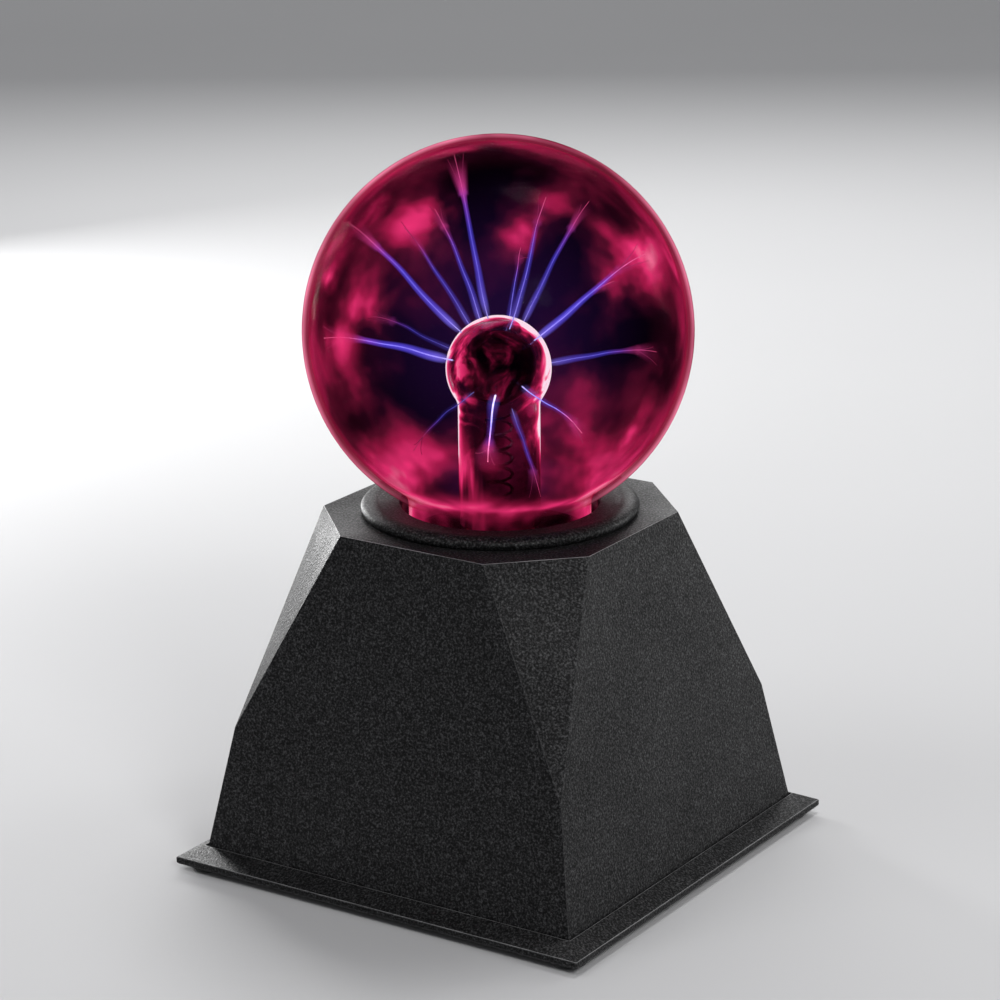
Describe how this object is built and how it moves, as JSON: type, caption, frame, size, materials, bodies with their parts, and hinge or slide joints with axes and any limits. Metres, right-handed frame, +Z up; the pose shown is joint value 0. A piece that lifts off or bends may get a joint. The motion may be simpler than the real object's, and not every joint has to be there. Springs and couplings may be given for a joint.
{
  "type": "plasma ball",
  "caption": "Plasma ball: a gas-filled glass globe with a central electrode, in a collar on a tall faceted black base that holds its driver, mode switch, microphone and supply socket.",
  "frame": {"origin": "on the table plane, under the middle of the base", "axes": "+Z up; -Y out of the front side of the base, +Y out of the rear side with the switch and socket"},
  "size_m": [0.1854, 0.1854, 0.2855],
  "materials": {
    "housing_plastic": "fine spark-eroded grain, semi-matt black",
    "plate_plastic": "fine spark-eroded grain, semi-matt black",
    "collar_plastic": "fine grain, satin black",
    "foot_rubber": "matt black rubber",
    "screw_steel": "zinc-plated, slightly dull",
    "seal_foam": "fine closed-cell foam",
    "globe_glass": "polished clear soda-lime glass",
    "electrode_glass": "polished clear glass",
    "electrode_wool": "dark conductive steel wool",
    "spring_steel": "drawn wire",
    "plug_rubber": "silicone rubber",
    "board_laminate": "green solder mask over woven laminate",
    "ferrite": "ground sintered ferrite",
    "winding_resin": "potted winding, glossy black",
    "winding_copper": "enamelled copper wire",
    "heat_sink_aluminium": "extruded aluminium",
    "chip_plastic": "moulded epoxy",
    "capacitor_sleeve": "dark blue shrink sleeve",
    "film_resin": "dipped orange-brown resin",
    "resistor_coat": "beige lacquer",
    "switch_tin": "tinned steel sheet",
    "terminal_board": "brown phenolic paper",
    "knob_plastic": "satin black",
    "contact_brass": "spring brass",
    "jack_plastic": "satin black",
    "nut_chrome": "nickel plated",
    "microphone_can": "drawn aluminium can",
    "wire_red": "PVC insulation",
    "wire_black": "PVC insulation",
    "wire_yellow": "PVC insulation",
    "wire_white": "PVC insulation",
    "high_voltage_insulation": "thick silicone insulation",
    "plasma_glow": "glowing discharge in thin gas"
  },
  "bodies": {
    "base": {"base_housing": "housing_plastic", "base_plate": "plate_plastic", "collar_ring": "collar_plastic", "neck_gasket": "seal_foam", "glass_globe": "globe_glass", "electrode_tube": "electrode_glass", "electrode_core": "electrode_wool", "electrode_spring": "spring_steel", "tube_plug": "plug_rubber", "neck_cup": "housing_plastic", "circuit_board": "board_laminate", "transformer_core_lower": "ferrite", "transformer_core_upper": "ferrite", "high_voltage_winding": "winding_resin", "primary_winding": "winding_copper", "heat_sink": "heat_sink_aluminium", "power_transistor": "chip_plastic", "transistor_screw": "screw_steel", "supply_capacitor": "capacitor_sleeve", "coupling_capacitor": "capacitor_sleeve", "film_capacitor": "film_resin", "control_chip": "chip_plastic", "gain_resistor": "resistor_coat", "timing_resistor": "resistor_coat", "switch_can": "switch_tin", "switch_terminals": "terminal_board", "switch_screw_left": "screw_steel", "switch_screw_right": "screw_steel", "dc_jack": "jack_plastic", "dc_jack_pin": "switch_tin", "dc_jack_nut": "nut_chrome", "microphone_boot": "foot_rubber", "microphone": "microphone_can", "jack_wire_positive": "wire_red", "jack_wire_negative": "wire_black", "switch_wire_supply": "wire_red", "switch_wire_sound": "wire_yellow", "microphone_wire_signal": "wire_white", "microphone_wire_ground": "wire_black", "high_voltage_lead": "high_voltage_insulation", "foot_front_left": "foot_rubber", "base_screw_front_left": "screw_steel", "board_screw_front_left": "screw_steel", "foot_front_right": "foot_rubber", "base_screw_front_right": "screw_steel", "board_screw_front_right": "screw_steel", "foot_rear_left": "foot_rubber", "base_screw_rear_left": "screw_steel", "board_screw_rear_left": "screw_steel", "foot_rear_right": "foot_rubber", "base_screw_rear_right": "screw_steel", "board_screw_rear_right": "screw_steel", "cup_screw_rear": "screw_steel", "cup_screw_left": "screw_steel", "cup_screw_right": "screw_steel"},
    "mode_switch": {"mode_slider": "knob_plastic", "contact_bridge": "contact_brass"}
  },
  "joints": [
    {"name": "mode_switch_slide", "type": "slide", "parent": "base", "child": "mode_switch", "axis": [1, 0, 0], "range_m": [-0.003, 0.003]}
  ]
}
